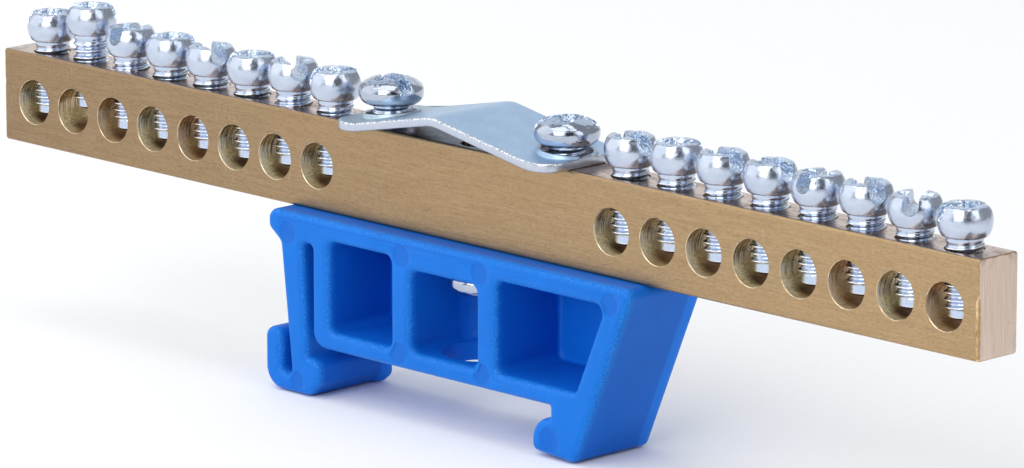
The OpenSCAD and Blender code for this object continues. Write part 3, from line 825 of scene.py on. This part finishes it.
def bar_ring(x, inset, worn, bevel=0, slide=0):
    """A ring round the bar; a bevel cuts back the lower part of its front edge, and slide moves it along."""
    half = BAR_D / 2
    corners = [(half, BAR_Z), (half, BAR_TOP), (-half, BAR_TOP), (-half, BAR_Z)]
    middle = (BAR_Z + BAR_TOP) / 2
    ring = []
    for p in rounded_box([(*c, BAR_EDGE_R) for c in corners], 0, 4, (40, 20)):
        depth = inset
        if worn:
            depth *= 0.5 + wear(p.x * 0.7 + p.y)
            if p.x < 0:
                depth += inset * nick(p.y)
        low = min(max((DRAG_TOP - p.y) / DRAG_FADE, 0), 1) if p.x < 0.05 - half else 0
        low *= 0.7 + 0.6 * wear(1.9 * p.y)
        scale_y = 1 - (depth + bevel * low) / half
        scale_z = 1 - depth / (BAR_TOP - middle)
        ring.append((x + slide * low, p.x * scale_y, middle + (p.y - middle) * scale_z))
    return ring


def bar_stock():
    edge = SAWN_EDGE
    return ring_solid("busbar_drilled", [
        bar_ring(BAR_LEFT, edge, True),
        bar_ring(BAR_LEFT + edge * 0.4, edge * 0.35, True),
        bar_ring(BAR_LEFT + edge * 1.4, 0, False),
        bar_ring(BAR_RIGHT - edge * 1.4, 0, False, 0, -0.16),
        bar_ring(BAR_RIGHT - edge * 0.4, edge * 0.35, True, 0.1, -0.1),
        bar_ring(BAR_RIGHT, edge, True, 0.2, 0),
    ])


def wire_hole(x):
    """A bore through the depth, with a small bevel at each mouth."""
    r, half = WIRE_D / 2, BAR_D / 2
    mouth = r + WIRE_RIM + CUT
    profile = [(-half - CUT, mouth), (WIRE_RIM - half, r), (half - WIRE_RIM, r), (half + CUT, mouth)]
    return bored(profile, 64, x, WIRE_Z)


def tapped_hole(x, bore, foot):
    """A bore from its foot up through the bar's top, with a small bevel there."""
    mouth = bore + 0.05
    profile = foot + [(bore, BAR_TOP - 0.03), (mouth, BAR_TOP + 0.02), (mouth, BAR_TOP + CUT)]
    return lathe(profile, 48, (x, 0))


def tapped_holes():
    """The terminals' holes start in the wire holes; the other three go through and are bevelled below."""
    shells = [tapped_hole(x, TERMINAL_BORE_R, [(TERMINAL_BORE_R, WIRE_Z)]) for x in TERMINAL_X]
    wide = CLAMP_BORE_R + 0.3
    foot = [(wide, BAR_Z - CUT), (wide, BAR_Z - 0.1), (CLAMP_BORE_R, BAR_Z + 0.2)]
    return shells + [tapped_hole(x, CLAMP_BORE_R, foot) for x in CLAMP_X + [0]]


def brass_of(p):
    """The brass that a face of the bar takes."""
    half = BAR_D / 2
    c = p.center
    if abs(p.normal.x) > 0.95 and (c.x < BAR_LEFT + 0.3 or c.x > BAR_RIGHT - 0.3):
        return SAWN
    if c.x > BAR_RIGHT - 0.35 and c.y < 0.15 - half and c.z < DRAG_TOP + 0.3 and p.normal.x > 0.15:
        return BURNISHED
    if abs(c.y) < half - 0.01 and BAR_Z + 0.4 < c.z < BAR_TOP - 0.4 and BAR_LEFT + 1 < c.x < BAR_RIGHT - 1:
        return BORED if abs(p.normal.y) < 0.2 else RIM_HIGHLIGHT
    if p.normal.z > 0.98 and c.z > BAR_TOP - 0.05:
        return ROLLED
    return DRAWN


def busbar():
    bar = bar_stock()
    combine(bar, ring_solids("wire_holes", [wire_hole(x) for x in TERMINAL_X]), "DIFFERENCE")
    combine(bar, ring_solids("tapped_holes", tapped_holes()), "DIFFERENCE")
    give_materials(bar.data, BRASS)
    for p in bar.data.polygons:
        p.material_index = brass_of(p)
    settle(bar, "bar_and_holder", "busbar")


# Screws: a turned head with its drive pressed in, and a rolled thread

def thread(length, tip_r, top):
    """Rings of a shank below z = 0, its thread running out under the head and above a plain point."""
    point, taper, neck, run_out = 1.0, 0.5, 0.25, 1.1
    neck_cut, crest_share = 0.1, 0.75
    count, rows = 40, 16
    total = int((length + top) / THREAD_PITCH * rows)
    rings = []
    for k in range(total + 1):
        z = -length + (length + top) * k / total
        share = min(max((-z - neck) / run_out, 0), 1)
        ring = []
        for i in range(count):
            phase = (z / THREAD_PITCH - i / count) % 1
            wave = min(abs(2 * phase - 1) ** 2 / crest_share, 1)
            r = THREAD_R - THREAD_DEPTH * share * (1 - wave) - neck_cut * (1 - share)
            if z < point - length:
                r = THREAD_R - THREAD_DEPTH
            if z < taper - length:
                r = min(r, tip_r + (THREAD_R - tip_r) * (z + length) / taper)
            a = 2 * math.pi * i / count
            ring.append((r * math.cos(a), r * math.sin(a), z))
        rings.append(ring)
    return rings


def trough(width, low, high, reach):
    """A round-bottomed slot along X."""
    r = width / 2
    turns = [math.pi * k / 16 for k in range(17)]
    section = [(r, high)] + [(r * math.cos(a), low + r - r * math.sin(a)) for a in turns] + [(-r, high)]
    return [[(x, y, z) for y, z in section] for x in (-reach, reach)]


def recess(width, length, low, high, taper):
    """A tapered recess, longer than it is wide, along Y."""
    rings = []
    for z, share in ((low, taper), (high, 1), (high + CUT, 1)):
        x, y = width / 2 * share, length / 2 * share
        rings.append([(-x, -y, z), (x, -y, z), (x, y, z), (-x, y, z)])
    return rings


def roughen(obj, low, amount):
    """Burrs: the upper part's long edges are cut up and its points pushed about, never further out."""
    noise.seed_set(BURR_SEED)
    bm = bmesh.new()
    bm.from_mesh(obj.data)
    long_edges = [e for e in bm.edges if e.calc_length() > 0.3 and min(v.co.z for v in e.verts) > low]
    bmesh.ops.subdivide_edges(bm, edges=long_edges, cuts=2)
    for v in bm.verts:
        share = min(max((v.co.z - low) / 0.5, 0), 1)
        push = noise.noise_vector(v.co * 1.6) * amount * share
        r = v.co.xy.length
        v.co += Vector((push.x, push.y, -abs(push.z)))
        if v.co.xy.length > r > 0:
            v.co.xy *= r / v.co.xy.length
    bm.to_mesh(obj.data)
    bm.free()


def paint_head(obj, materials, in_drive):
    """The pressed drive takes its own ragged finish."""
    give_materials(obj.data, materials)
    for p in obj.data.polygons:
        p.material_index = DRIVE if in_drive(p.center) else HEAD


def add_thread(obj, rings, depth):
    """Joins the shank to a head; below this depth it takes the thread's finish."""
    combine(obj, ring_solid("thread", rings), "UNION")
    for p in obj.data.polygons:
        if p.center.z < -depth:
            p.material_index = THREAD


def ball_screw():
    slot_w, slot_low = 1.6, BALL_H - 1.75
    cross_w, cross_l, cross_low = 1.2, 3.5, BALL_H - 1.3
    lip = math.asin((BALL_H / 2 - 0.14) / BALL_R)
    turns = [-lip + 2 * lip * k / 22 for k in range(23)]
    profile = [(THREAD_R, 0), (2.12, 0.02)]
    profile += [(BALL_R * math.cos(a), BALL_H / 2 + BALL_R * math.sin(a)) for a in turns]
    profile += [(2.1, BALL_H - 0.03), (1.98, BALL_H)]
    head = ring_solid("ball_screw", lathe(profile))
    combine(head, ring_solid("slot", trough(slot_w, slot_low, BALL_H + CUT, 4)), "DIFFERENCE")
    combine(head, ring_solid("cross", recess(cross_w, cross_l, cross_low, BALL_H, 0.72)), "DIFFERENCE")
    soften(head, 0.15)

    def in_drive(c):
        if c.z <= slot_low - 0.05:
            return False
        along = abs(c.y) < slot_w / 2 + 0.02
        across = abs(c.x) < cross_w / 2 + 0.02 and abs(c.y) < cross_l / 2 + 0.03
        on_ball = Vector((c.x, c.y, c.z - BALL_H / 2)).length > BALL_R - 0.05
        return (along or across) and not on_ball or c.z > BALL_H - 0.05

    paint_head(head, BALL_ZINC, in_drive)
    roughen(head, BALL_H - 1.0, 0.13)
    add_thread(head, thread(BALL_SCREW_L, 1.2, 0.4), 0.3)
    return head


def pan_screw(name, head_h):
    """Rounded below and at its shoulder, domed above; the dome's circle touches the shoulder's."""
    edge, shoulder = head_h * 0.36, head_h * 0.45
    side, fall = PAN_D / 2 - edge, head_h - shoulder
    crown = (side ** 2 + fall ** 2 - edge ** 2) / (2 * (fall - edge))
    middle = head_h - crown
    start = math.atan2(shoulder - middle, side)
    end = math.pi / 2 - 0.04
    low = [(side + edge * math.sin(a), edge - edge * math.cos(a)) for a in quarter(10)]
    turns = [start * k / 10 for k in range(10)]
    high = [(side + edge * math.cos(a), shoulder + edge * math.sin(a)) for a in turns]
    turns = [start + (end - start) * k / 16 for k in range(17)]
    dome = [(crown * math.cos(a), middle + crown * math.sin(a)) for a in turns]
    head = ring_solid(name, lathe([(side - 0.3, 0)] + low + high + dome))
    slot_w, slot_low = PAN_D * 0.22, head_h * 0.45
    cross_l, cross_low = PAN_D * 0.62, head_h * 0.36
    combine(head, ring_solid("slot", trough(slot_w, slot_low, head_h + CUT, PAN_D)), "DIFFERENCE")
    combine(head, ring_solid("cross", recess(slot_w, cross_l, cross_low, head_h, 0.75)), "DIFFERENCE")
    soften(head, 0.14)

    def in_drive(c):
        if c.z <= head_h * 0.3:
            return False
        along = abs(c.y) < slot_w / 2 + 0.02 and c.z > head_h * 0.44
        across = abs(c.x) < slot_w / 2 + 0.02 and abs(c.y) < PAN_D * 0.32
        return (along or across) and Vector((c.x, c.y, c.z - middle)).length < crown - 0.04

    paint_head(head, PAN_ZINC, in_drive)
    roughen(head, head_h * 0.55, 0.16)
    add_thread(head, thread(PAN_SCREW_L, THREAD_R - 0.25, 0.3), 0.1)
    return head


def place_screw(name, pattern, place, rotate, body, node):
    obj = add_object(name, pattern.data.copy())
    obj.data.transform(Matrix.Translation(place) @ rotate)
    settle(obj, body, node, 32)


def turned(degrees):
    return Matrix.Rotation(math.radians(degrees), 4, "Z")


def terminal_screws():
    pattern = ball_screw()
    for n, x, turn in zip(TERMINALS, TERMINAL_X, TERMINAL_TURNS):
        node = f"terminal_screw_{n}"
        seat = span(node, 2)[0] + BALL_SCREW_L
        place_screw(f"ball_screw_{n}", pattern, (x, 0, seat), turned(turn), f"terminal_{n}", node)
    discard(pattern)


def clamp_screws():
    pattern = pan_screw("pan_screw", CLAMP_HEAD_H)
    for x, (side, turn) in zip(CLAMP_X, CLAMP_TURNS.items()):
        node = f"clamp_screw_{side}"
        seat = span(node, 2)[0] + PAN_SCREW_L
        place_screw(f"pan_screw_{side}", pattern, (x, 0, seat), turned(turn), f"clamp_{side}", node)
    discard(pattern)


def fixing_screw():
    """Upside down, with its head under the middle pocket's roof."""
    pattern = pan_screw("small_pan_screw", FIXING_HEAD_H)
    flip = Matrix.Rotation(math.pi, 4, "X")
    place_screw("pan_screw_fixing", pattern, (0, 0, FIXING_SEAT), flip, "bar_and_holder", "fixing_screw")
    discard(pattern)


# Saddle plate: one folded sheet with a lip drawn up round each hole

def fold_height(x):
    """Height of the sheet's underside above the bar: two slopes, with bends at the screws and the ridge."""
    z = 0
    bends = ((CLAMP_X[0], LEFT_SLOPE), (RIDGE_X, -LEFT_SLOPE - RIGHT_SLOPE), (CLAMP_X[1], RIGHT_SLOPE))
    for at, slope in bends:
        past = x - at
        if past > PLATE_BEND:
            z += slope * past
        elif past > -PLATE_BEND:
            z += slope * (past + PLATE_BEND) ** 2 / (4 * PLATE_BEND)
    return z


def upper_height(x, y):
    """Height of the sheet's upper side above the bar, raised to a flat lip round each hole."""
    z = fold_height(x) + PLATE_T
    for at, slope in zip(CLAMP_X, (LEFT_SLOPE / 2, -RIGHT_SLOPE / 2)):
        fall = min(max((math.hypot(x - at, y) - LIP_R) / LIP_FALL, 0), 1)
        share = 1 - fall * fall * (3 - 2 * fall)
        if share > 0:
            z += (PLATE_T + LIP_H + slope * (x - at) - z) * share
    return z


def plate_outline():
    """The edge of the plate's flat, from which its rounded edge goes out and down."""
    x0, x1, w, r = PLATE_X[0], PLATE_X[1], PLATE_W / 2, PLATE_CORNER_R
    corners = [(x1, -w, r), (x1, w, r), (x0, w, r), (x0, -w, r)]
    pieces = [int((length - 2 * r) / 0.35) for length in (PLATE_W, x1 - x0)]
    return rounded_box(corners, PLATE_EDGE_R, ARC_STEPS, pieces)


def hole_ring(x, r):
    return [Vector(p[:2]) for p in circle(r, 72, centre=(x, 0))]


def on_flat(p, gap):
    """Whether a point lies on the plate's flat, further than this gap from its outer edge."""
    left, right = PLATE_X[0] + PLATE_EDGE_R, PLATE_X[1] - PLATE_EDGE_R
    w, r = PLATE_W / 2 - PLATE_EDGE_R, PLATE_CORNER_R - PLATE_EDGE_R
    if not (left + gap < p.x < right - gap and abs(p.y) < w - gap):
        return False
    past = max(left + r - p.x, p.x - right + r)
    rise = abs(p.y) - w + r
    return past <= 0 or rise <= 0 or math.hypot(past, rise) <= r - gap


def off_holes(p, gap):
    return all((p - Vector((x, 0))).length > gap for x in CLAMP_X)


def plate_points():
    """Points on the flat: rings that follow the lips, and a grid between them."""
    lip_rings = [LIP_R + d for d in (-0.13, 0, 0.03, 0.06, 0.08, 0.1, 0.13, 0.16, 0.45, 0.85)]
    points = [p for x in CLAMP_X for r in lip_rings for p in hole_ring(x, r) if on_flat(p, 0.08)]
    step = 0.4
    left, low = PLATE_X[0] + PLATE_EDGE_R, PLATE_EDGE_R - PLATE_W / 2
    columns = int((PLATE_X[1] - PLATE_EDGE_R - left) / step) + 1
    rows = int(-2 * low / step) + 1
    grid = [Vector((left + i * step, low + j * step)) for i in range(columns) for j in range(rows)]
    return points + [p for p in grid if on_flat(p, 0.15) and off_holes(p, 4.2)]


def plate_flat(loops):
    """The flat's points and triangles inside its loops, and the new number of each point that went in."""
    points, edges = [], []
    for loop in loops:
        start, count = len(points), len(loop)
        points += loop
        edges += [(start + i, start + (i + 1) % count) for i in range(count)]
    flat, _, triangles, origin, _, _ = delaunay_2d_cdt(points + plate_points(), edges, [], 0, TOUCH)

    def kept(face):
        c = sum((flat[i] for i in face), Vector((0, 0))) / len(face)
        return on_flat(c, -0.01) and off_holes(c, PLATE_HOLE_R + PLATE_EDGE_R - 0.02)

    number = {old: new for new, olds in enumerate(origin) for old in olds}
    return flat, [list(f) for f in triangles if kept(f)], number


def edge_column(p, out, top, low):
    """Points down the sheet's rounded edge, below one point of a loop."""
    turns = quarter(PLATE_EDGE_STEPS)[1:]
    heights = [top - PLATE_EDGE_R * (1 - math.cos(a)) for a in turns]
    heights += [low + PLATE_EDGE_R * (1 - math.cos(a)) for a in reversed(turns)]
    places = [p + out * PLATE_EDGE_R * math.sin(a) for a in turns + turns[::-1]]
    return [(q.x, q.y, z) for q, z in zip(places, heights)]


def outward(loop):
    """The direction away from the sheet at each point of its outline."""
    count = len(loop)
    along = [(loop[(i + 1) % count] - loop[i - 1]).normalized() for i in range(count)]
    return [Vector((d.y, -d.x)) for d in along]


def plate_sheet():
    """The sheet as an object, and the number of its first edge face."""
    holes = [hole_ring(x, PLATE_HOLE_R + PLATE_EDGE_R) for x in CLAMP_X]
    loops = [plate_outline()] + holes
    outs = [outward(loops[0])]
    outs += [[(Vector((x, 0)) - p).normalized() for p in hole] for x, hole in zip(CLAMP_X, holes)]
    flat, upper_faces, number = plate_flat(loops)
    n = len(flat)
    verts = [(p.x, p.y, BAR_TOP + upper_height(p.x, p.y)) for p in flat]
    verts += [(p.x, p.y, BAR_TOP + fold_height(p.x)) for p in flat]
    faces = upper_faces + [[i + n for i in reversed(f)] for f in upper_faces]
    edge_start = len(faces)
    start = 0
    for loop, out in zip(loops, outs):
        rim = []
        for i, p in enumerate(loop):
            top = number[start + i]
            column = edge_column(p, out[i], verts[top][2], verts[top + n][2])
            rim.append([top] + list(range(len(verts), len(verts) + len(column))) + [top + n])
            verts += column
        for a, b in zip(rim, rim[1:] + rim[:1]):
            faces += [[a[k], a[k + 1], b[k + 1], b[k]] for k in range(len(a) - 1)]
        start += len(loop)
    used = sorted({i for f in faces for i in f})
    index = {old: new for new, old in enumerate(used)}
    faces = [[index[i] for i in f] for f in faces]
    return from_lists("saddle_clamp_sheet", [verts[i] for i in used], faces), edge_start


def saddle_clamp():
    """The edge's faces run down from each point of a loop, and a run starts with the rim that carries a
    painted highlight.
    """
    plate, edge_start = plate_sheet()
    run = 2 * PLATE_EDGE_STEPS + 1
    give_materials(plate.data, SHEET)
    for k, p in enumerate(plate.data.polygons):
        if k < edge_start:
            p.material_index = SHEET_FACE
        else:
            p.material_index = SHEET_RIM_HIGHLIGHT if (k - edge_start) % run < PLATE_EDGE_STEPS else SHEET_EDGE
    settle(plate, "bar_and_holder", "saddle_clamp")


# Studio, in metres

# The point that lights and the dark card face
AIM = Vector((0, 0, 0.025))


def direction(azimuth, elevation):
    a, e = math.radians(azimuth), math.radians(elevation)
    return Vector((math.sin(a) * math.cos(e), -math.cos(a) * math.cos(e), math.sin(e)))


def quad(name, centre, towards, width, height, material):
    """A flat card that faces a point."""
    centre = Vector(centre)
    turn = (Vector(towards) - centre).to_track_quat("Z", "Y").to_matrix().to_4x4()
    w, h = width / 2, height / 2
    mesh = bpy.data.meshes.new(name)
    mesh.from_pydata([(-w, -h, 0), (w, -h, 0), (w, h, 0), (-w, h, 0)], [], [[0, 1, 2, 3]])
    mesh.transform(Matrix.Translation(centre) @ turn)
    mesh.materials.append(material)
    obj = add_object(name, mesh)
    return obj


def floor():
    s = Shader("floor_paper")
    fibre = s.noise((0.8, 0.8, 0.8), 4, 0.6)
    colour = s.mix(s.ramp(fibre, 0.3, 0.7), (0.94, 0.94, 0.94), (0.96, 0.96, 0.96))
    paper = s.finish(colour, 0.9, s.bump(fibre, 0.1, 0.02), metallic=0.0, specular=0.1)
    quad("floor", (0, 0, -0.1 * MM), (0, 0, 1), 8, 8, paper)


def dark_card():
    """A card that the metal mirrors beside the camera. The camera itself doesn't see it."""
    s = Shader("dark_card")
    weave = s.noise((0.5, 0.5, 0.5), 3, 0.6)
    colour = s.mix(weave, (0.02, 0.02, 0.025), (0.04, 0.04, 0.05))
    material = s.finish(colour, 0.9, metallic=0.0)
    card = quad("dark_card", AIM + direction(VIEW_AZIMUTH + 10, 25) * 1.05, AIM, 0.5, 0.8, material)
    card.visible_camera = False


def area_light(name, azimuth, elevation, distance, width, height, power, colour):
    light = bpy.data.lights.new(name, "AREA")
    light.shape = "RECTANGLE"
    light.size = width
    light.size_y = height
    light.energy = power
    light.color = colour
    obj = add_object(name, light)
    obj.location = AIM + direction(azimuth, elevation) * distance
    obj.rotation_euler = (AIM - obj.location).to_track_quat("-Z", "Y").to_euler()


def lights():
    """Each light has a name, azimuth, elevation, distance, width, height, power and colour."""
    white, sky = (1, 1, 1), (0.74, 0.87, 1.0)
    area_light("softbox_left", -50, 31, 1.2, 1.6, 1.5, 7.2, white)
    area_light("window_left", 16, 30, 1.1, 0.7, 1.0, 6.4, white)
    area_light("window_right", 92, 30, 1.1, 0.45, 0.9, 1.78, white)
    area_light("overhead", -20, 80, 1.2, 0.9, 0.9, 3.9, white)
    area_light("backdrop", 225, 9, 1.3, 1.4, 0.45, 1.2, white)
    area_light("sky_behind", 222, 38, 1.3, 1.4, 0.8, 2.1, sky)


def surroundings():
    world = bpy.data.worlds.new("studio")
    world.use_nodes = True
    background = world.node_tree.nodes["Background"]
    background.inputs["Color"].default_value = (0.97, 0.98, 1.0, 1)
    background.inputs["Strength"].default_value = 0.4
    bpy.context.scene.world = world
    bpy.context.scene.view_settings.view_transform = "Standard"


def camera():
    cam = bpy.data.cameras.new("camera")
    cam.sensor_fit = "HORIZONTAL"
    cam.sensor_width = 36
    cam.lens = LENS
    cam.clip_start = 0.01
    cam.clip_end = 50
    obj = add_object("camera", cam)
    back = direction(VIEW_AZIMUTH, VIEW_ELEVATION)
    obj.location = Vector(VIEW_TARGET) * MM + back * (VIEW_DISTANCE * MM)
    obj.rotation_euler = (-back).to_track_quat("-Z", "Y").to_euler()
    bpy.context.scene.camera = obj


rail_holder()
busbar()
terminal_screws()
clamp_screws()
fixing_screw()
saddle_clamp()
floor()
dark_card()
lights()
surroundings()
camera()
